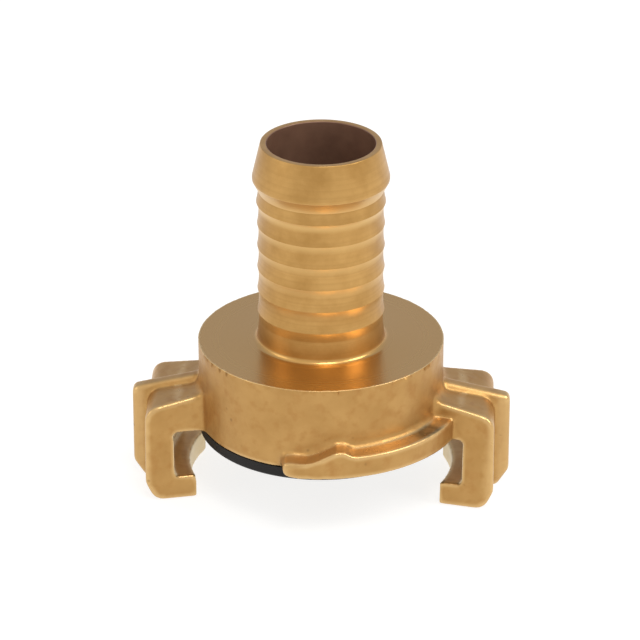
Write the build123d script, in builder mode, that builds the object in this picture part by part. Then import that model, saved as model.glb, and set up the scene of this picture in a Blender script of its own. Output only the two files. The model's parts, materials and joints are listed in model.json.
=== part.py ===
from build123d import *
from math import cos, radians, sin, sqrt, tan
import os

# Claw coupling half for a water hose: one forged and turned brass body, one rubber face seal.
# Millimetres. +Z runs along the waterway towards the hose. The claws' feet stand on Z = 0
# and the claws lie on the X axis.

# Coupling interface, shared with the mating half
claw_distance = 40.0  # between the inner faces of the two feet
claw_groove_depth = 3.2  # from the foot's inner face out to the claw's wall
foot_height = 3.65
face_height = 10.75  # the brass face above the feet
cam_reach = 3.1  # how far the cam ramps stand out from the disc
cam_height = 3.5  # where the mating foot is locked
cam_tip_height = 2.5  # where the mating foot slides on
cam_bump_height = 4.4  # the hump it clicks over

# Disc
disc_diameter = 37.1
disc_height = 13.15
disc_edge_chamfer = 0.25

# Hose tail
tail_length = 31.8
tail_diameter = 19.1
tail_root_radius = 0.8
ridge_count = 6
ridge_pitch = 3.53
ridge_diameter = 19.2
ridge_groove_depth = 0.28
ridge_return = 1.3  # height of the drop behind each ridge
bead_diameter = 20.5
bead_height = 5.7  # from the bead's lower edge to the rim
bead_land = 0.5
bead_return = 1.7
rim_diameter = 18.2
rim_chamfer = 0.35
bore_diameter = 16.3

# Claws
claw_wall_radius = 26.35  # axis to the outside of the claw
claw_half_width = 8.35  # at the feet, claw_width_station from the axis
claw_width_station = 20.0
claw_offset = 0.65  # the claw's middle plane passes this far beside the axis, clockwise
claw_flare = 13.7  # angle of each end face to the claw's middle plane
claw_draft = 5.0
arm_height = 5.35  # top of the arm above the brass face, at claw_width_station
arm_slope = 11.5
arm_corner_radius = 2.4
claw_edge_radius = 0.5  # round each end face
foot_bevel_width = 1.4  # the slope under the claw's wall
foot_bevel_height = 2.9
foot_corner_radius = 2.2
groove_corner_chamfer = 0.4
claw_root_radius = 1.5
claw_embed = 2.5  # how far each claw is let into the disc

# Rib along each claw
rib_width = 2.6
rib_stand_out = 2.4  # beyond the claw's wall
rib_rise = 0.95  # above the arm, at claw_width_station
rib_slope = 13.0
rib_corner_radius = 1.0
rib_foot_width = 1.7
rib_foot_rise = 2.6
rib_edge_chamfer = 0.5

# Cam ramps, angles from the claw that each one runs into
cam_tip_angle = 104.0
cam_climb_angle = 92.8
cam_bump_angle = 82.3
cam_drop_angle = 79.0
cam_lock_angle = 75.3
cam_climb_radius = 6.0
cam_bump_radius = 1.6
cam_root_radius = 1.0
cam_tip_radius = 1.2
cam_overrun = 6.0
cam_end_angle = 17.0
cam_lock_overlap = 5.0  # that the lead-in and the level ring share
backing_inset = 0.01  # keeps the cam's backing just inside the disc, so the two join cleanly

# Seal and its recess
recess_diameter = 26.0
recess_depth = 6.2
undercut_depth = 1.0
undercut_height = 2.2
undercut_offset = 3.0  # brass face to the undercut
seal_clearance = 0.1
seal_flange_diameter = 36.9
seal_flange_height = 1.75
seal_hole_diameter = 19.0
seal_lip_height = 0.5
seal_lip_width = 3.0
seal_edge_chamfer = 0.3

# Worked out
foot_radius = claw_distance / 2
groove_radius = foot_radius + claw_groove_depth
disc_radius = disc_diameter / 2
disc_top = face_height + disc_height
rim_height = disc_top + tail_length
cam_radius = disc_radius + cam_reach
backing_radius = disc_radius - backing_inset
bead_bottom = rim_height - bead_height
rib_radius = claw_wall_radius + rib_stand_out
arm_inner_radius = disc_radius - claw_embed
ridge_radius = ridge_diameter / 2
groove_bottom = ridge_radius - ridge_groove_depth
touching = 0.005  # closer than this, a point counts as lying on a surface


def arm_top(radius):
    return face_height + arm_height + (claw_width_station - radius) * tan(radians(arm_slope))


def rib_top(radius):
    rise = (claw_width_station - radius) * tan(radians(rib_slope))
    return face_height + arm_height + rib_rise + rise


def at_radius(point, radius):
    return abs(sqrt(point.X**2 + point.Y**2) - radius) < touching


def is_cam_root(edge):
    # where the cam's top and tip meet the disc, but not its face or the ends of its backing
    middle = edge @ 0.5
    above_tip = face_height + cam_tip_radius / 2
    below_ends = face_height + cam_bump_height - touching
    return at_radius(middle, backing_radius) and above_tip < middle.Z < below_ends


def is_claw_root(edge):
    middle = edge @ 0.5
    beside_claw = abs(middle.Y) > claw_half_width / 2 and abs(middle.X) > disc_radius / 2
    above_face = face_height + touching < middle.Z < rib_top(disc_radius)
    return at_radius(middle, disc_radius) and beside_claw and above_face


def is_end_edge(edge):
    # along either end face of the claw, but not across its middle or down its inner side
    middle = edge @ 0.5
    return abs(middle.Y) > claw_half_width / 2 and middle.X > arm_inner_radius + touching


def corner_at(sketch, x, y):
    return sketch.vertices().sort_by_distance((x, y, 0))[0]


# One claw, on +X ------------------------------------------------------------------------
with BuildPart() as rib:
    with BuildSketch(Plane.XZ) as rib_side:
        with BuildLine():
            Polyline(
                (arm_inner_radius, foot_height),
                (claw_wall_radius - 2 * foot_bevel_width, 0),
                (rib_radius - rib_foot_width, 0),
                (rib_radius, rib_foot_rise),
                (rib_radius, rib_top(rib_radius)),
                (arm_inner_radius, rib_top(arm_inner_radius)),
                close=True,
            )
        make_face()
        fillet(corner_at(rib_side, rib_radius, rib_top(rib_radius)), rib_corner_radius)
        fillet(corner_at(rib_side, rib_radius, rib_foot_rise), rib_corner_radius)
    extrude(amount=rib_width / 2, both=True)
    outer_edges = rib.edges().filter_by(lambda edge: edge.center().X > rib_radius - rib_corner_radius)
    outer_edges = outer_edges.filter_by(lambda edge: abs(edge.center().Y) > rib_width / 4)
    chamfer(outer_edges, rib_edge_chamfer)

with BuildPart() as block:
    with BuildSketch(Plane.XZ) as arm_side:
        with BuildLine():
            Polyline(
                (arm_inner_radius, 0),
                (claw_wall_radius - foot_bevel_width, 0),
                (claw_wall_radius, foot_bevel_height),
                (claw_wall_radius, arm_top(claw_wall_radius)),
                (arm_inner_radius, arm_top(arm_inner_radius)),
                close=True,
            )
        make_face()
        fillet(corner_at(arm_side, claw_wall_radius - foot_bevel_width, 0), foot_corner_radius)
        fillet(corner_at(arm_side, claw_wall_radius, foot_bevel_height), foot_corner_radius)
        fillet(corner_at(arm_side, claw_wall_radius, arm_top(claw_wall_radius)), arm_corner_radius)
    extrude(amount=2 * claw_half_width, both=True)
    for side in (1, -1):
        outward = (-tan(radians(claw_flare)), side, tan(radians(claw_draft)))
        end_plane = Plane((claw_width_station, side * claw_half_width, 0), z_dir=outward)
        split(bisect_by=end_plane, keep=Keep.BOTTOM)
    fillet(block.edges().filter_by(is_end_edge), claw_edge_radius)

# One cam ramp, running clockwise from the claw on +X ---------------------------------------
slide_middle = (cam_tip_angle + cam_lock_angle) / 2
slide_plane = Plane(
    (0, 0, face_height),
    x_dir=(sin(radians(slide_middle)), cos(radians(slide_middle)), 0),
    z_dir=(cos(radians(slide_middle)), -sin(radians(slide_middle)), 0),
)


def along_slide(angle):
    # where an angle from the claw lies across the lead-in, at the cam's outer edge
    return cam_radius * sin(radians(slide_middle - angle))


def ring_section(start_angle, inner_radius, outer_radius, height):
    # a rectangle in the half plane at start_angle, ready to revolve back towards the claw
    with BuildSketch(Plane.XZ.rotated((0, 0, -start_angle))) as section:
        with Locations(((inner_radius + outer_radius) / 2, face_height + height / 2)):
            Rectangle(outer_radius - inner_radius, height)
    return section.sketch


with BuildPart() as cam:
    with BuildSketch(slide_plane) as slide_profile:
        with BuildLine():
            Polyline(
                (along_slide(cam_tip_angle), 0),
                (along_slide(cam_tip_angle), cam_tip_height),
                (along_slide(cam_climb_angle), cam_tip_height),
                (along_slide(cam_bump_angle), cam_bump_height),
                (along_slide(cam_drop_angle), cam_bump_height),
                (along_slide(cam_lock_angle), cam_height),
                (along_slide(cam_lock_angle - 2 * cam_lock_overlap), cam_height),
                (along_slide(cam_lock_angle - 2 * cam_lock_overlap), 0),
                close=True,
            )
        make_face()
        fillet(corner_at(slide_profile, along_slide(cam_climb_angle), cam_tip_height), cam_climb_radius)
        for angle, height in (
            (cam_bump_angle, cam_bump_height),
            (cam_drop_angle, cam_bump_height),
            (cam_lock_angle, cam_height),
        ):
            fillet(corner_at(slide_profile, along_slide(angle), height), cam_bump_radius)
        fillet(corner_at(slide_profile, along_slide(cam_tip_angle), 0), cam_tip_radius)
    extrude(amount=2 * cam_radius)
    cam_start = cam_tip_angle + cam_overrun
    add(ring_section(cam_start, disc_radius - cam_reach, cam_radius, 2 * cam_bump_height))
    revolve(axis=Axis.Z, revolution_arc=cam_start - cam_end_angle, mode=Mode.INTERSECT)
    level_start = cam_lock_angle - cam_lock_overlap
    add(ring_section(level_start, disc_radius - cam_reach, cam_radius, cam_height))
    revolve(axis=Axis.Z, revolution_arc=level_start - cam_end_angle)
    # a slice of the disc behind the cam, so that the cam's root can be rounded into it
    add(ring_section(cam_start, disc_radius - cam_reach, backing_radius, 2 * cam_bump_height))
    revolve(axis=Axis.Z, revolution_arc=cam_start - cam_end_angle)
    fillet(cam.edges().filter_by(is_cam_root), cam_root_radius)


# Coupling body --------------------------------------------------------------------------
with BuildPart() as coupling_body:
    with BuildSketch(Plane.XZ) as turned_section:
        with BuildLine():
            bead = [
                (rim_diameter / 2, rim_height),
                (bead_diameter / 2, bead_bottom + bead_land),
                (bead_diameter / 2, bead_bottom),
                (groove_bottom, bead_bottom - bead_return),
            ]
            ridges = []
            for index in range(1, ridge_count + 1):
                lip = bead_bottom - index * ridge_pitch
                ridges += [(ridge_radius, lip), (groove_bottom, lip - ridge_return)]
            Polyline(
                (0, rim_height),
                *bead,
                *ridges,
                (tail_diameter / 2, disc_top),
                (disc_radius, disc_top),
                (disc_radius, face_height),
                (0, face_height),
                close=True,
            )
        make_face()
        fillet(corner_at(turned_section, tail_diameter / 2, disc_top), tail_root_radius)
        chamfer(corner_at(turned_section, disc_radius, disc_top), disc_edge_chamfer)
    revolve(axis=Axis.Z)
    claw_places = [Rot(0, 0, turn) * Pos(0, -claw_offset, 0) for turn in (0, 180)]
    with Locations(*claw_places):
        add(block.part)
    fillet(coupling_body.edges().filter_by(is_claw_root), claw_root_radius)
    with Locations(*claw_places):
        add(rib.part)
    # the turned groove that the mating cam ramp slides in, and the room between the two feet
    with BuildSketch(Plane.XZ) as groove_section:
        with BuildLine():
            Polyline(
                (0, -foot_height),
                (foot_radius, -foot_height),
                (foot_radius, foot_height),
                (groove_radius, foot_height),
                (groove_radius, face_height),
                (0, face_height),
                close=True,
            )
        make_face()
        chamfer(corner_at(groove_section, groove_radius, foot_height), groove_corner_chamfer)
        chamfer(corner_at(groove_section, groove_radius, face_height), groove_corner_chamfer)
    revolve(axis=Axis.Z, mode=Mode.SUBTRACT)
    with PolarLocations(0, 2):
        add(cam.part)
    # waterway, and the recess and undercut that hold the seal
    with BuildSketch(Plane.XZ) as waterway:
        with BuildLine():
            undercut_low = face_height + undercut_offset
            undercut_high = undercut_low + undercut_height
            recess_radius = recess_diameter / 2
            recess_top = face_height + recess_depth
            Polyline(
                (0, face_height),
                (recess_radius, face_height),
                (recess_radius, undercut_low),
                (recess_radius + undercut_depth, undercut_low),
                (recess_radius + undercut_depth, undercut_high),
                (recess_radius, undercut_high),
                (recess_radius, recess_top),
                (bore_diameter / 2, recess_top),
                (bore_diameter / 2, rim_height - rim_chamfer),
                (bore_diameter / 2 + rim_chamfer, rim_height),
                (0, rim_height),
                close=True,
            )
        make_face()
    revolve(axis=Axis.Z, mode=Mode.SUBTRACT)
coupling_body.part.label = "coupling_body"

# Face seal --------------------------------------------------------------------------------
seal_face = face_height - seal_flange_height
seal_neck_radius = recess_radius - seal_clearance
with BuildPart() as face_seal:
    with BuildSketch(Plane.XZ) as seal_section:
        with BuildLine():
            seal_hole_radius = seal_hole_diameter / 2
            flange_radius = seal_flange_diameter / 2
            Polyline(
                (seal_hole_radius, seal_face - seal_lip_height),
                (seal_hole_radius + seal_lip_width, seal_face - seal_lip_height),
                (seal_hole_radius + seal_lip_width + seal_lip_height, seal_face),
                (flange_radius, seal_face),
                (flange_radius, face_height),
                (seal_neck_radius, face_height),
                (seal_neck_radius, undercut_low + seal_clearance),
                (seal_neck_radius + undercut_depth, undercut_low + seal_clearance),
                (seal_neck_radius + undercut_depth, undercut_high - seal_clearance),
                (seal_neck_radius, undercut_high - seal_clearance),
                (seal_neck_radius, recess_top - seal_clearance),
                (seal_hole_radius, recess_top - seal_clearance),
                close=True,
            )
        make_face()
        chamfer(corner_at(seal_section, flange_radius, seal_face), seal_edge_chamfer)
    revolve(axis=Axis.Z)
face_seal.part.label = "face_seal"

os.makedirs("parts", exist_ok=True)
for piece in (coupling_body, face_seal):
    export_step(piece.part, f"parts/{piece.part.label}.step")
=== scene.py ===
# %% [markdown]
# This lesson dresses one half of a quarter turn coupling for a water hose. The real part is one
# hot-forged brass piece, machined where it has to seal, lock or hold the hose, with one black
# rubber ring underneath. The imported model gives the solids. The forged half is made from its
# solid. The turned half is turned once more, to the solid's sizes give or take a tenth of a
# millimetre, and the rubber keeps its solid and takes a finish.

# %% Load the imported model
import json
from math import atan2, cos, pi, radians, sin

import bmesh
import bpy
import numpy as np
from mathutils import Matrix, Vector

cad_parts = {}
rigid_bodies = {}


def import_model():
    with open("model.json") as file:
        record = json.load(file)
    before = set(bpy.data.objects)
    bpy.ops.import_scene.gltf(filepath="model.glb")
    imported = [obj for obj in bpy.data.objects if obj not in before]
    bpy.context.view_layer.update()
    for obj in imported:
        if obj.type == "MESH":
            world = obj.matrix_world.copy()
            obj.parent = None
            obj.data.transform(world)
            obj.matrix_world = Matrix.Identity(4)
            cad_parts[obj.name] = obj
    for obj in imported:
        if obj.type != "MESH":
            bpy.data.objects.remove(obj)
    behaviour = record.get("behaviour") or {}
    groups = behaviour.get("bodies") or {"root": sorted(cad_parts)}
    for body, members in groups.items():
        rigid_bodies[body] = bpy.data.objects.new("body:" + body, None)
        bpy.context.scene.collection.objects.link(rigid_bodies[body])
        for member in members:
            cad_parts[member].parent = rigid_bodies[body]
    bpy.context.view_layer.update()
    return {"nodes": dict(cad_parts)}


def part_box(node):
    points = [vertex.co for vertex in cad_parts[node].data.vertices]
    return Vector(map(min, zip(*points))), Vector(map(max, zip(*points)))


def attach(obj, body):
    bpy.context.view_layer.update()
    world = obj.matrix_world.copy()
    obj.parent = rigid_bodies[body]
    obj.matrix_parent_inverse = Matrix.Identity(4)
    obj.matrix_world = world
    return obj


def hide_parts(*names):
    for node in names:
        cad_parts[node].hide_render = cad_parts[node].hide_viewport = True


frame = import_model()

mm = 0.001

disc_top = 23.9 * mm
disc_radius = 18.55 * mm

# %% [markdown]
# The camera comes first, because every look at the part goes through it. A small part is shot
# from a little over half a metre with a long lens, which keeps the tail's sides nearly parallel.
# The camera looks down by about 26 degrees, and stands a little to one side of the claws.

# %% Camera
camera_tilt = radians(25.57)
camera_turn = radians(1.9)
camera_back = 522.94 * mm
camera_aside = -0.15 * mm
camera_rise = 276.88 * mm
camera_data = bpy.data.cameras.new("camera")
camera_data.sensor_width = 36
camera_data.lens = 216.17
camera = bpy.data.objects.new("camera", camera_data)
camera.location = (
    camera_aside * cos(camera_turn) + camera_back * sin(camera_turn),
    camera_aside * sin(camera_turn) - camera_back * cos(camera_turn),
    camera_rise,
)
camera.rotation_euler = (pi / 2 - camera_tilt, 0, camera_turn)
bpy.context.collection.objects.link(camera)
bpy.context.scene.camera = camera
bpy.context.scene.view_settings.view_transform = "Standard"
print("camera distance, in mm:", round(camera.location.length / mm))

# %% [markdown]
# A finish is a small network of shader nodes. Written out in full, each node takes four or five
# lines, so these helpers keep the networks short enough to read. One adds a node and sets its
# values, others do a sum, spread a value over a new range or blend two colours. The room behind
# the part is a network of the same kind.

# %% Helpers for networks of nodes
class Network:
    def __init__(self, tree):
        self.tree = tree

    def link(self, start, end):
        self.tree.links.new(start, end)

    def give(self, socket, value):
        if isinstance(value, bpy.types.NodeSocket):
            self.link(value, socket)
        else:
            socket.default_value = value

    def node(self, kind, inputs=(), **settings):
        made = self.tree.nodes.new(kind)
        for name, value in settings.items():
            setattr(made, name, value)
        for socket, value in inputs:
            self.give(made.inputs[socket], value)
        return made

    def math(self, operation, first, second):
        inputs = [(0, first), (1, second)]
        return self.node("ShaderNodeMath", inputs, operation=operation).outputs[0]

    def vector(self, operation, *inputs):
        made = self.node("ShaderNodeVectorMath", enumerate(inputs), operation=operation)
        return made.outputs["Vector" if operation == "MULTIPLY" else "Value"]

    def spread(self, value, low, high, start=0.3, end=0.7):
        # the stretch from start to end becomes the one from low to high
        places = {"Value": value, "From Min": start, "From Max": end, "To Min": low, "To Max": high}
        return self.node("ShaderNodeMapRange", places.items()).outputs["Result"]

    def blend(self, factor, first, second):
        # sockets 0, 6 and 7 of a mix of colours are its factor and its two colours
        inputs = [(0, factor), (6, first), (7, second)]
        return self.node("ShaderNodeMix", inputs, data_type="RGBA").outputs[2]


# %% [markdown]
# A finish adds what only a surface has: the place on the piece, the way it faces, noises and
# bumps. Every pattern is laid out by the piece's own coordinates, in metres, so it stays on the
# metal when the part is seen from another side. A noise's scale counts its patches in a metre.

# %% Helpers for finishes
class Finish(Network):
    def __init__(self, name):
        self.material = bpy.data.materials.new(name)
        self.material.use_nodes = True
        super().__init__(self.material.node_tree)
        self.shader = self.tree.nodes["Principled BSDF"]
        self.place = self.node("ShaderNodeTexCoord").outputs["Object"]

    def set(self, **values):
        for name, value in values.items():
            self.give(self.shader.inputs[name.replace("_", " ")], value)

    def facing(self):
        # the way the surface faces, and how far that is upward
        normal = self.node("ShaderNodeNewGeometry").outputs["Normal"]
        return normal, self.node("ShaderNodeSeparateXYZ", [(0, normal)]).outputs["Z"]

    def noise(self, scale, detail, place=None, roughness=0.5):
        inputs = [
            ("Vector", place or self.place),
            ("Scale", scale),
            ("Detail", detail),
            ("Roughness", roughness),
        ]
        return self.node("ShaderNodeTexNoise", inputs).outputs["Fac"]

    def bump(self, height, distance, strength, under=None):
        inputs = [("Height", height), ("Distance", distance), ("Strength", strength)]
        if under:
            inputs.append(("Normal", under))
        return self.node("ShaderNodeBump", inputs).outputs["Normal"]

    def tell(self):
        print(self.material.name, "is a network of", len(self.tree.nodes), "nodes")


def colour(red, green, blue):
    # a colour as it is picked on a screen, turned into the linear values that shaders use
    return tuple((channel / 255) ** 2.2 for channel in (red, green, blue)) + (1.0,)


# %% [markdown]
# Forged brass left the die with a fine pitted skin, and was then tumbled until its edges were
# soft. A plain colour would look like paint. One noise drifts the colour from tan to straw over
# a few millimetres, a finer one adds stains, and the level kept in the mesh turns the edges
# bright, partly as wear and partly as a painted highlight.

# %% Forged brass: the colour
tan, straw = colour(174, 132, 76), colour(188, 146, 88)
stain_brown = colour(166, 117, 62)
# a bright tint for worn edges, also used as a painted highlight on the ribs, the cams' slides and
# the disc's burr
wear_and_highlight_tint = colour(220, 184, 128)
forged = Finish("forged_brass")
skin = forged.blend(forged.spread(forged.noise(230, 4), 0, 1), tan, straw)
stained = forged.spread(forged.noise(620, 3), 0, 0.55, 0.50, 0.74)
skin = forged.blend(stained, skin, stain_brown)
# this level is partly real wear and partly a painted highlight
wear_and_highlight_mask = forged.node("ShaderNodeAttribute", attribute_name="wear_and_highlight_level").outputs["Fac"]
skin = forged.blend(wear_and_highlight_mask, skin, wear_and_highlight_tint)

# %% [markdown]
# The cells of a Voronoi texture leave a small pit at each cell's centre. There would be far too
# many, so a second, broader noise chooses the few that show.

# %% Forged brass: pits
pit_floor = colour(126, 92, 54)
pits = forged.node("ShaderNodeTexVoronoi", [("Vector", forged.place), ("Scale", 620)])
pit_depth = forged.spread(pits.outputs["Distance"], 1, 0, 0.05, 0.24)
pit_choice = forged.spread(forged.noise(430, 1), 0, 0.7, 0.64, 0.70)
pit = forged.math("MULTIPLY", pit_depth, pit_choice)
skin = forged.blend(pit, skin, pit_floor)

# %% [markdown]
# A dark reflection is painted on one ledge, where the mating claw comes to rest. Three things
# multiplied keep it there: it is near the ledge's end, the surface looks up, and a noise breaks
# it into patches.

# %% Forged brass: a painted dark reflection
# the colour of a painted dark reflection on the ledge's upward face
dark_reflection_colour = colour(130, 108, 72)
ledge_end = (16.4 * mm, -11.9 * mm, 14.2 * mm)
reflection_full, reflection_gone = 1.4 * mm, 3.4 * mm
facing, upward = forged.facing()
from_ledge = forged.vector("DISTANCE", forged.place, ledge_end)
dark_reflection_mask = forged.math(
    "MULTIPLY",
    forged.spread(from_ledge, 1, 0, reflection_full, reflection_gone),
    forged.spread(upward, 0, 1, 0.75, 0.95),
)
patchy = forged.spread(forged.noise(700, 4), 0.55, 1, 0.40, 0.60)
dark_reflection_mask = forged.math("MULTIPLY", dark_reflection_mask, patchy)
skin = forged.blend(dark_reflection_mask, skin, dark_reflection_colour)

# %% [markdown]
# The lathe cut the claws' insides, which are the faces that look back at the axis, and they are
# painted pale, as painted light that lifts these shaded faces. The product of the way a point
# faces and its place, both laid flat, is well below nought just there. These faces are less of a
# mirror too, or they would mirror only each other and turn dark.

# %% Forged brass: the claws' insides
cut_pale_painted_light = colour(242, 216, 164)
inside_full, inside_gone = -14 * mm, -6 * mm
level_place = forged.vector("MULTIPLY", forged.place, (1, 1, 0))
inward = forged.vector("DOT_PRODUCT", facing, level_place)
inside = forged.spread(inward, 1, 0, inside_full, inside_gone)
# painted light: the claws' insides are lifted toward a pale colour
skin = forged.blend(inside, skin, cut_pale_painted_light)
metal = forged.math(
    "MULTIPLY",
    forged.spread(wear_and_highlight_mask, 0.74, 0.95, 0, 1),
    forged.spread(inside, 1, 0.20, 0, 1),
)
forged.set(Base_Color=skin, Metallic=metal)

# %% [markdown]
# The skin's grain is too fine to model, so it is bumps: a soft one of about two millimetres, a
# fine one on top of it, and the pits sunk into both. Worn places, and those painted as
# highlights, are smoother.

# %% Forged brass: the skin
dull = forged.spread(forged.noise(900, 3), 0.32, 0.46)
forged.set(Roughness=forged.math("SUBTRACT", dull, forged.math("MULTIPLY", wear_and_highlight_mask, 0.10)))
soft_skin = forged.bump(forged.noise(520, 3), 0.12 * mm, 0.30)
fine_skin = forged.bump(forged.noise(3000, 4), 0.02 * mm, 0.4, soft_skin)
forged.set(Normal=forged.bump(pit, 0.06 * mm, -0.4, fine_skin))
forged.tell()

# %% [markdown]
# Turned brass comes off the lathe, so every mark on it runs round the axis. The pattern is a
# noise that only knows how high a point is and how far from the axis it lies, which gives rings
# on a flat face and lines round a tube with one rule.

# %% Turned brass: the tool's marks
turned = Finish("turned_brass")
apart = turned.node("ShaderNodeSeparateXYZ", [(0, turned.place)]).outputs
flat_place = turned.node("ShaderNodeCombineXYZ", [("X", apart["X"]), ("Y", apart["Y"])])
from_axis = turned.vector("LENGTH", flat_place.outputs[0])
travel = turned.math("ADD", from_axis, apart["Z"])
along = turned.node("ShaderNodeCombineXYZ", [("X", travel)]).outputs[0]
tool_marks = turned.noise(2300, 4, along, roughness=0.65)

# %% [markdown]
# The disc's top was faced last and is the brightest. The tail is a shade darker and has broad
# patches, and the faces that look down, under the bead and under each ridge, are painted paler
# as a painted highlight. The bore was left as it was drilled, brown and dull.

# %% Turned brass: the colour
tail_dark, tail_light = colour(172, 130, 72), colour(194, 151, 90)
mark_brown = colour(166, 126, 72)
faced_top = colour(200, 156, 94)
underside_highlight_tint = colour(214, 174, 112)
bore_dark, bore_light = colour(126, 94, 76), colour(138, 104, 84)
patches = turned.spread(turned.noise(190, 5, roughness=0.6), 0, 1, 0.35, 0.65)
tail_skin = turned.blend(patches, tail_dark, tail_light)
tail_skin = turned.blend(turned.spread(tool_marks, 0, 0.5, 0.45, 0.75), tail_skin, mark_brown)
on_tail = turned.spread(apart["Z"], 0, 1, disc_top + 0.2 * mm, disc_top + 1.2 * mm)
turned_skin = turned.blend(on_tail, faced_top, tail_skin)
upward = turned.facing()[1]
# painted highlight: the tail's faces that look down are painted paler
underside_highlight = turned.math("MULTIPLY", on_tail, turned.spread(upward, 1, 0, -0.30, -0.02))
turned_skin = turned.blend(underside_highlight, turned_skin, underside_highlight_tint)
in_bore = turned.spread(from_axis, 1, 0, 8.15 * mm, 8.25 * mm)
bore_skin = turned.blend(turned.spread(turned.noise(500, 3), 0, 1), bore_dark, bore_light)
turned.set(Base_Color=turned.blend(in_bore, turned_skin, bore_skin))

# %% [markdown]
# The same two masks, on the tail and in the bore, set how much of a mirror the brass is.

# %% Turned brass: the gloss
metal = turned.math(
    "MULTIPLY",
    turned.spread(on_tail, 0.95, 0.80, 0, 1),
    turned.spread(in_bore, 1, 0.5, 0, 1),
)
tail_dullness = turned.math("MULTIPLY", on_tail, 0.09)
gloss = turned.math("ADD", turned.spread(tool_marks, 0.20, 0.30), tail_dullness)
turned.set(Metallic=metal, Roughness=gloss)
turned.set(Normal=turned.bump(tool_marks, 0.03 * mm, 0.5))
turned.tell()

# %% [markdown]
# The seal is moulded rubber: nearly black, with a dull sheen and a very fine bloom.

# %% Moulded rubber
rubber = Finish("moulded_rubber")
bloom = rubber.noise(1400, 4)
rubber.set(Base_Color=rubber.blend(bloom, colour(22, 21, 21), colour(42, 40, 39)))
rubber.set(Roughness=rubber.spread(bloom, 0.5, 0.68), Specular_IOR_Level=0.25)
rubber.set(Normal=rubber.bump(bloom, 0.05 * mm, 0.25))
rubber.tell()

# %% [markdown]
# Two helpers work on whole meshes. One keeps what the modifiers make of a piece as a plain mesh.
# The other copies a solid of the model up to some height and caps it there. Its faces come apart
# along their seams, and merging the points that fall together sews them up.

# %% Helpers for meshes
seam = 0.001 * mm


def plain_mesh(piece, name):
    seen = piece.evaluated_get(bpy.context.evaluated_depsgraph_get())
    made = bpy.data.objects.new(name, bpy.data.meshes.new_from_object(seen))
    made.data.name = name
    bpy.context.collection.objects.link(made)
    bpy.data.objects.remove(piece)
    return made


def cut_copy(node, height):
    shell = bmesh.new()
    shell.from_mesh(frame["nodes"][node].data)
    bmesh.ops.remove_doubles(shell, verts=shell.verts, dist=seam)
    everything = shell.verts[:] + shell.edges[:] + shell.faces[:]
    cut = bmesh.ops.bisect_plane(
        shell, geom=everything, plane_co=(0, 0, height), plane_no=(0, 0, 1), clear_outer=True
    )
    rims = [part for part in cut["geom_cut"] if isinstance(part, bmesh.types.BMEdge)]
    bmesh.ops.triangle_fill(shell, edges=rims, use_beauty=True)
    bmesh.ops.recalc_face_normals(shell, faces=shell.faces)
    mesh = bpy.data.meshes.new(node)
    shell.to_mesh(mesh)
    open_edges = sum(1 for edge in shell.edges if len(edge.link_faces) != 2)
    shell.free()
    copy = bpy.data.objects.new(node + "_copy", mesh)
    bpy.context.collection.objects.link(copy)
    print(node, "copied:", len(mesh.polygons), "faces,", open_edges, "open edges")
    return copy


# %% [markdown]
# The forged body is a merged copy of the solid. A forging has no knife edges, but a solid's
# edges are sharp, and a bevel would trip over the small faces of its fillets. A voxel remesh
# lays even squares over the whole form, and a few rounds of smoothing then wear every edge by
# the same small amount. The tail is left out here, because a lathe makes it and not a die.

# %% The forged body
forging_voxel = 0.21 * mm
smoothing_rounds = 12
forging_cut = disc_top - 0.02 * mm

body = cut_copy("coupling_body", forging_cut)
remesh = body.modifiers.new("even squares", "REMESH")
remesh.mode = "VOXEL"
remesh.voxel_size = forging_voxel
remesh.use_smooth_shade = True
wear = body.modifiers.new("worn edges", "SMOOTH")
wear.factor = 0.5
wear.iterations = smoothing_rounds
forging = plain_mesh(body, "forged_squares")
forging.data.materials.clear()
forging.data.materials.append(forged.material)
print("squares:", len(forging.data.polygons))

# %% [markdown]
# The next two steps treat the mesh as a table of points, which is much faster than a loop over
# them. The mean of each point's neighbours is what both steps need.

# %% Helpers for points
def read_points(mesh, what="co"):
    values = np.empty(len(mesh.vertices) * 3, np.float32)
    (mesh.vertices if what == "co" else mesh.vertex_normals).foreach_get(what, values)
    return values.reshape(-1, 3)


def neighbour_mean(mesh):
    # a function that swaps each point's value for the mean of its neighbours' values
    ends = np.empty(len(mesh.edges) * 2, np.int32)
    mesh.edges.foreach_get("vertices", ends)
    starts, stops = ends.reshape(-1, 2).T
    count = np.maximum(np.bincount(ends, minlength=len(mesh.vertices)), 1)

    def mean(values):
        total = np.zeros_like(values)
        np.add.at(total, starts, values[stops])
        np.add.at(total, stops, values[starts])
        return total / count.reshape((-1,) + (1,) * (values.ndim - 1)).astype(np.float32)

    return mean


around = neighbour_mean(forging.data)

# %% [markdown]
# The lead-in of each cam is softer than the rest, because the die is blunt there. Points near
# the two noses get extra rounds of smoothing, which fade out over a few millimetres.

# %% Blunt noses
nose = np.array((-5.4, -19.8, 13.9)) * mm
nose_reach = 4.2 * mm
blunting_rounds = 45
fade, softest = 1.2, 0.8
points = read_points(forging.data)
to_nose = np.minimum(
    np.linalg.norm(points - nose, axis=1), np.linalg.norm(points - nose * (-1, -1, 1), axis=1)
)
softness = np.clip(fade * (1 - to_nose / nose_reach), 0, softest)
softness = softness[:, None].astype(np.float32)
for blunting in range(blunting_rounds):
    points += (around(points) - points) * softness
forging.data.vertices.foreach_set("co", points.ravel())
forging.data.update()
print("softened points:", int((softness > 0).sum()))
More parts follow.
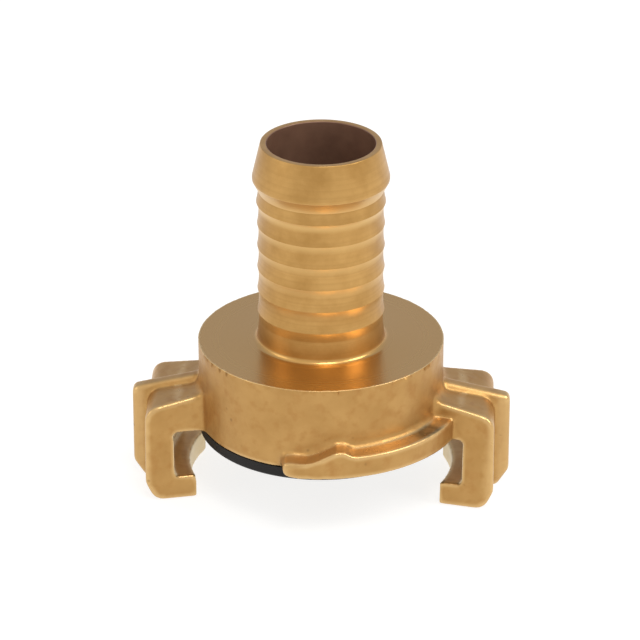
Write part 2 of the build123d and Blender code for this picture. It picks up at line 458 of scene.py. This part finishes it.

# %% [markdown]
# Tumbling and handling rub the skin bright where it stands proud. The mesh itself knows where
# that is: a point on an edge lies outside the mean of its neighbours. The amount is kept with
# each point. The ribs, which stick out furthest, are rubbed all over and also take a painted
# highlight. The slides of the cams, which the mating claws run along, are rubbed too, and are
# painted brighter, as painted light on faces that mirror the dark side of the disc.

# %% Worn edges and painted highlights
rib_start, rib_ramp, rib_wear_and_highlight = 26.6 * mm, 0.8 * mm, 0.45
slide_inner, slide_outer = disc_radius + 0.3 * mm, 22.3 * mm
slide_low, slide_high = np.array((12.6, 15.9)) * mm
slide_wear_and_light = 0.6
edge_start, edge_ramp, edge_most = 0.012, 0.06, 0.65
normals = read_points(forging.data, "vector")
proud = ((points - around(points)) * normals).sum(axis=1) / forging_voxel
for spreading in range(4):
    proud = around(proud)
from_centre = np.hypot(points[:, 0], points[:, 1])
# the ribs: partly wear, partly a painted highlight
rib_slide_wear_and_light = rib_wear_and_highlight * np.clip((from_centre - rib_start) / rib_ramp, 0, 1)
# the cams' slides: painted light as well as wear
on_slide = (from_centre > slide_inner) & (from_centre < slide_outer) & (normals[:, 2] > 0.8)
on_slide &= (points[:, 2] > slide_low) & (points[:, 2] < slide_high)
rib_slide_wear_and_light = np.maximum(rib_slide_wear_and_light, slide_wear_and_light * on_slide)
on_edge = np.clip((proud - edge_start) / edge_ramp, 0, edge_most)
wear_and_highlight_level = np.maximum(on_edge, rib_slide_wear_and_light).astype(np.float32)
wear_and_highlight_kept = forging.data.attributes.new("wear_and_highlight_level", "FLOAT", "POINT").data
wear_and_highlight_kept.foreach_set("value", wear_and_highlight_level)
# the share counts points with wear and points with a painted highlight
print("worn edges cover", round(float((wear_and_highlight_level > 0.4).mean() * 100)), "% of the points")

# %% [markdown]
# The squares had to be small to follow the edges, but the flat faces don't need them. Decimate
# merges points where that changes the shape least, and the level of wear and painted highlight
# stays with the points it keeps.

# %% Thin out the flats
share_kept = 0.48
thin = forging.modifiers.new("fewer squares", "DECIMATE")
thin.ratio = share_kept
forging = plain_mesh(forging, "forged_body")
forging.data.calc_loop_triangles()
print("forged body:", len(forging.data.loop_triangles), "triangles")

# %% [markdown]
# Everything a lathe makes is one section swept round the axis. The node tree takes the section
# as a small loop of edges, sweeps it along a circle, and can stack copies of the ring up the
# axis, which is just what the ridges of a hose tail are.

# %% A lathe made of nodes
def lathe_tree():
    tree = bpy.data.node_groups.new("turn a section", "GeometryNodeTree")
    sockets = {}
    for name, kind in (
        ("Section", "Geometry"),
        ("Segments", "Int"),
        ("Circle Radius", "Float"),
        ("Rings", "Int"),
        ("Ring Pitch", "Float"),
        ("Finish", "Material"),
    ):
        socket = "NodeSocket" + kind
        made = tree.interface.new_socket(name, in_out="INPUT", socket_type=socket)
        sockets[name] = made.identifier
    tree.interface.new_socket("Turned", in_out="OUTPUT", socket_type="NodeSocketGeometry")

    def node(kind, **inputs):
        made = tree.nodes.new(kind)
        for name, start in inputs.items():
            tree.links.new(start, made.inputs[name.replace("_", " ")])
        return made.outputs

    given = tree.nodes.new("NodeGroupInput").outputs
    section = node("GeometryNodeMeshToCurve", Mesh=given["Section"])["Curve"]
    circle = node(
        "GeometryNodeCurvePrimitiveCircle",
        Resolution=given["Segments"],
        Radius=given["Circle Radius"],
    )["Curve"]
    ring = node("GeometryNodeCurveToMesh", Curve=circle, Profile_Curve=section)["Mesh"]
    step = node("ShaderNodeCombineXYZ", Z=given["Ring Pitch"])[0]
    stack = node("GeometryNodeMeshLine", Count=given["Rings"], Offset=step)["Mesh"]
    rings = node("GeometryNodeInstanceOnPoints", Points=stack, Instance=ring)["Instances"]
    real = node("GeometryNodeRealizeInstances", Geometry=rings)["Geometry"]
    done = node("GeometryNodeSetMaterial", Geometry=real, Material=given["Finish"])["Geometry"]
    tree.links.new(done, tree.nodes.new("NodeGroupOutput").inputs["Turned"])
    return tree, sockets


lathe, lathe_sockets = lathe_tree()
print("the lathe has the inputs", list(lathe_sockets))

# %% [markdown]
# A section is drawn as points, each with its distance from the axis and its height in
# millimetres. Where two faces meet at more than the crease angle, the edge stays crisp, and
# everywhere else the shading runs on smoothly.

# %% Put a section on the lathe
crease = radians(24)


def turn(name, section, finish, segments=256, rings=1, pitch=0.0):
    circle = min(radius for radius, height in section)
    points = [((radius - circle) * mm, -height * mm, 0) for radius, height in section]
    edges = [(index, (index + 1) % len(points)) for index in range(len(points))]
    mesh = bpy.data.meshes.new(name + "_section")
    mesh.from_pydata(points, edges, [])
    piece = bpy.data.objects.new(name + "_section", mesh)
    bpy.context.collection.objects.link(piece)
    modifier = piece.modifiers.new("lathe", "NODES")
    modifier.node_group = lathe
    values = {
        "Segments": segments,
        "Circle Radius": circle * mm,
        "Rings": rings,
        "Ring Pitch": pitch * mm,
        "Finish": finish.material,
    }
    for socket, value in values.items():
        modifier[lathe_sockets[socket]] = value
    made = plain_mesh(piece, name)
    shell = bmesh.new()
    shell.from_mesh(made.data)
    bmesh.ops.recalc_face_normals(shell, faces=shell.faces)
    shell.to_mesh(made.data)
    shell.free()
    made.data.shade_smooth()
    made.data.set_sharp_from_angle(angle=crease)
    print(name, "turned:", len(made.data.polygons), "faces from", len(points), "points")
    return made


# %% [markdown]
# Six ridges grip the hose, at one pitch below the bead. Each comes to a sharp lip between two
# hollows, and the hollow under it is the steeper one. Both hollows are arcs of a parabola, which
# ends upright, so that the next ridge goes on from it without a line. Rounded corners elsewhere
# are arcs of a circle.

# %% Shapes that the sections share
bead_low = 50.0
ridge_pitch = 3.53
small_ridges = 5
top_lip = bead_low - ridge_pitch
lowest_lip = top_lip - small_ridges * ridge_pitch
ridge_floor = 9.33
hollow = 0.42 * ridge_pitch
slope = ridge_pitch - hollow
buried = 9.1  # a radius within the tail's wall, where nothing shows


def arc(centre_radius, centre_height, size, start, end, steps):
    turns = (radians(start + (end - start) * step / steps) for step in range(steps + 1))
    return [(centre_radius + size * cos(turn), centre_height + size * sin(turn)) for turn in turns]


def tooth(lip, height):
    stand = lip - ridge_floor
    below = [
        (ridge_floor + stand * (step / 8) ** 2, height - hollow * (1 - step / 8))
        for step in range(8)
    ]
    above = [
        (ridge_floor + stand * (1 - step / 8) ** 2, height + slope * step / 8)
        for step in range(9)
    ]
    return [(buried, height - hollow), *below, *above, (buried, height + slope)]


# %% [markdown]
# The core of the tail is turned in one go with the top of the disc: a flat ring, a small root
# fillet, the plain neck, the top ridge, the bead at the mouth and the bore. The top ridge stands
# a little further out than the others, so it is part of the core. Its upper slope runs straight
# into the corner under the bead, and most of that slope's points are left out. The bore's wall
# lies a hair inside the forging's own bore and hides it. At the bottom it goes on below the
# solid's bore, as a thin collar that stands free in the seal's hole and shows only from below.

# %% The turned core
plate_radius, plate_top, plate = 18.35, disc_top / mm + 0.012, 0.6
neck_radius, root = 9.52, 0.8
bore_radius, bore_end, bore_wall = 8.09, 9.4, 0.6
top_ridge = tooth(9.67, top_lip)[1:-8]
core_section = [
    (plate_radius, plate_top - plate),
    (plate_radius, plate_top),
    *arc(neck_radius + root, plate_top + root, root, 270, 180, 10),
    (9.49, 25.4),
    (9.40, 26.4),
    (ridge_floor, lowest_lip - hollow),
    (buried, 27.7),
    (buried, top_lip - 1.9),
    *top_ridge,
    *arc(9.46, top_lip + 1.78, 0.12, 195, 160, 3),  # the corner under the bead
    *arc(10.15, bead_low + 0.10, 0.10, -60, 0, 3),  # the bead's lower edge
    *arc(10.05, bead_low + 0.45, 0.2, 0, 18, 3),  # where it is widest
    *arc(8.92, 55.55, 0.14, 18, 90, 5),  # the mouth's outer edge
    *arc(bore_radius + 0.16, 55.53, 0.16, 90, 180, 5),  # and its inner edge
    (bore_radius, bore_end),
    (bore_radius + bore_wall, bore_end),
    (bore_radius + bore_wall, plate_top - plate),
]
core = turn("turned_core", core_section, turned)

# %% [markdown]
# Where the faced top meets the forged side, the disc has its one crisp edge, and facing pushed a
# hair of metal over it. The edge is a ring of its own in the forged finish. Its outermost points
# are shaken by about a hundredth of a millimetre, which breaks up the line of light, and they
# take the bright tint as a painted highlight along the burr.

# %% The disc's edge
edge_segments = 512
burr = 0.013 * mm
burr_radius, burr_height = 18.4 * mm, 23.84 * mm
edge_section = [
    (18.0, 22.9),
    (18.56, 22.9),
    *arc(18.48, 23.83, 0.08, 0, 90, 6),
    (18.0, 23.9),
]
disc_edge = turn("disc_edge", edge_section, forged, segments=edge_segments)
shake = np.random.default_rng(4).normal(0, 1, (edge_segments, 2))
shake = (shake + np.roll(shake, 1, axis=0) + np.roll(shake, 2, axis=0)) / 2
burr_highlight = disc_edge.data.attributes.new("wear_and_highlight_level", "FLOAT", "POINT").data
shaken = 0
for index, point in enumerate(disc_edge.data.vertices):
    out = np.hypot(point.co.x, point.co.y)
    if out > burr_radius and point.co.z > burr_height:
        # a painted highlight: the burr's points take the bright tint
        burr_highlight[index].value = 0.9
        turns = atan2(point.co.y, point.co.x) / (2 * pi)
        lift, push = shake[round(turns * edge_segments) % edge_segments] * burr
        point.co.z += lift
        point.co.x *= 1 + push / out
        point.co.y *= 1 + push / out
        shaken += 1
disc_edge.data.update()
print("shaken points:", shaken)

# %% [markdown]
# The five small ridges are all alike. The lowest one is turned into a ring, and the tree stacks
# the rest above it, one pitch apart.

# %% The ridges
ridge_lip = 9.545
ridge = tooth(ridge_lip, lowest_lip)
ridges = turn("hose_ridges", ridge, turned, rings=small_ridges, pitch=ridge_pitch)

# %% [markdown]
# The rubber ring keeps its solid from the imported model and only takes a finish.

# %% The seal's finish
seal = frame["nodes"]["face_seal"]
seal.data.materials.clear()
seal.data.materials.append(rubber.material)
for face in seal.data.polygons:
    face.material_index = 0
print("the seal has", len(seal.data.polygons), "faces")

# %% [markdown]
# Each new piece rides on the one body, and the solid that the pieces dress is hidden, so that
# they stand in for it.

# %% Join the pieces to the model
for piece in (forging, disc_edge, core, ridges):
    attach(piece, "root")
    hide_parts("coupling_body")

# %% [markdown]
# The room is white to the eye. Brass is a soft mirror, though, and what it mirrors makes half of
# its colour: upright faces show the white table, and faces that look up show the room behind
# the part. So the room that reflections see is nearly white, and fades to a cool, dimmer grey
# behind and above. The light that the room gives is held at a plain level.

# %% Room
white = (1, 0.995, 0.985, 1)
warm_white = (0.94, 0.92, 0.89, 1)
cool_grey = (0.56, 0.61, 0.74, 1)
plain_light = (0.55, 0.55, 0.55, 1)
room = bpy.data.worlds.new("room")
room.use_nodes = True
bpy.context.scene.world = room
air = Network(room.node_tree)
path = air.node("ShaderNodeLightPath").outputs
heading = air.node("ShaderNodeTexCoord").outputs["Generated"]
heading_apart = air.node("ShaderNodeSeparateXYZ", [(0, heading)]).outputs
above = air.spread(heading_apart["Z"], 0, 1, 0, 0.35)
behind = air.spread(heading_apart["Y"], 0, 1, 0, 0.6)
mirrored = air.blend(air.math("MULTIPLY", above, behind), warm_white, cool_grey)
lighting = air.blend(path["Is Glossy Ray"], plain_light, mirrored)
plainly_seen = air.math("MAXIMUM", path["Is Camera Ray"], path["Is Transmission Ray"])
backdrop = room.node_tree.nodes["Background"].inputs["Color"]
air.link(air.blend(plainly_seen, lighting, white), backdrop)
print("the room is a network of", len(room.node_tree.nodes), "nodes")

# %% [markdown]
# The table is one pale sheet. Its own faint glow keeps it white up to the horizon, and it still
# takes the part's soft shadow. It lies a hair below the feet, so that the two faces don't fight
# over the same place.

# %% Table
reach = 1.5
drop = -0.03 * mm
corners = [
    (-reach, -reach, drop),
    (reach, -reach, drop),
    (reach, reach, drop),
    (-reach, reach, drop),
]
floor_mesh = bpy.data.meshes.new("floor")
floor_mesh.from_pydata(corners, [], [(0, 1, 2, 3)])
floor = bpy.data.objects.new("floor", floor_mesh)
bpy.context.collection.objects.link(floor)
pale = Finish("pale_floor")
pale.set(Base_Color=(0.28, 0.28, 0.275, 1), Roughness=0.8)
pale.set(Emission_Color=white, Emission_Strength=0.82)
floor.data.materials.append(pale.material)
print("the table is", 2 * reach, "m wide")

# %% [markdown]
# Three soft panels light the part. The first hangs high in front, so that it shows as a bright
# line in each hollow corner and on each rounded edge, and the others fill in from the sides.

# %% Lamps
def panel(name, place, size, power):
    data = bpy.data.lights.new(name, "AREA")
    data.size = size
    data.energy = power
    lamp = bpy.data.objects.new(name, data)
    lamp.location = place
    low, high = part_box("coupling_body")
    lamp.rotation_euler = (lamp.location - (low + high) / 2).to_track_quat("Z", "Y").to_euler()
    bpy.context.collection.objects.link(lamp)
    print(name, "gives", power, "W from", round(lamp.location.length, 2), "m away")


panel("high_panel", (0.10, -0.30, 0.62), 0.24, 1.3)
panel("left_panel", (-0.60, -0.15, 0.35), 0.35, 0.45)
panel("right_panel", (0.48, -0.12, 0.48), 0.28, 1.4)
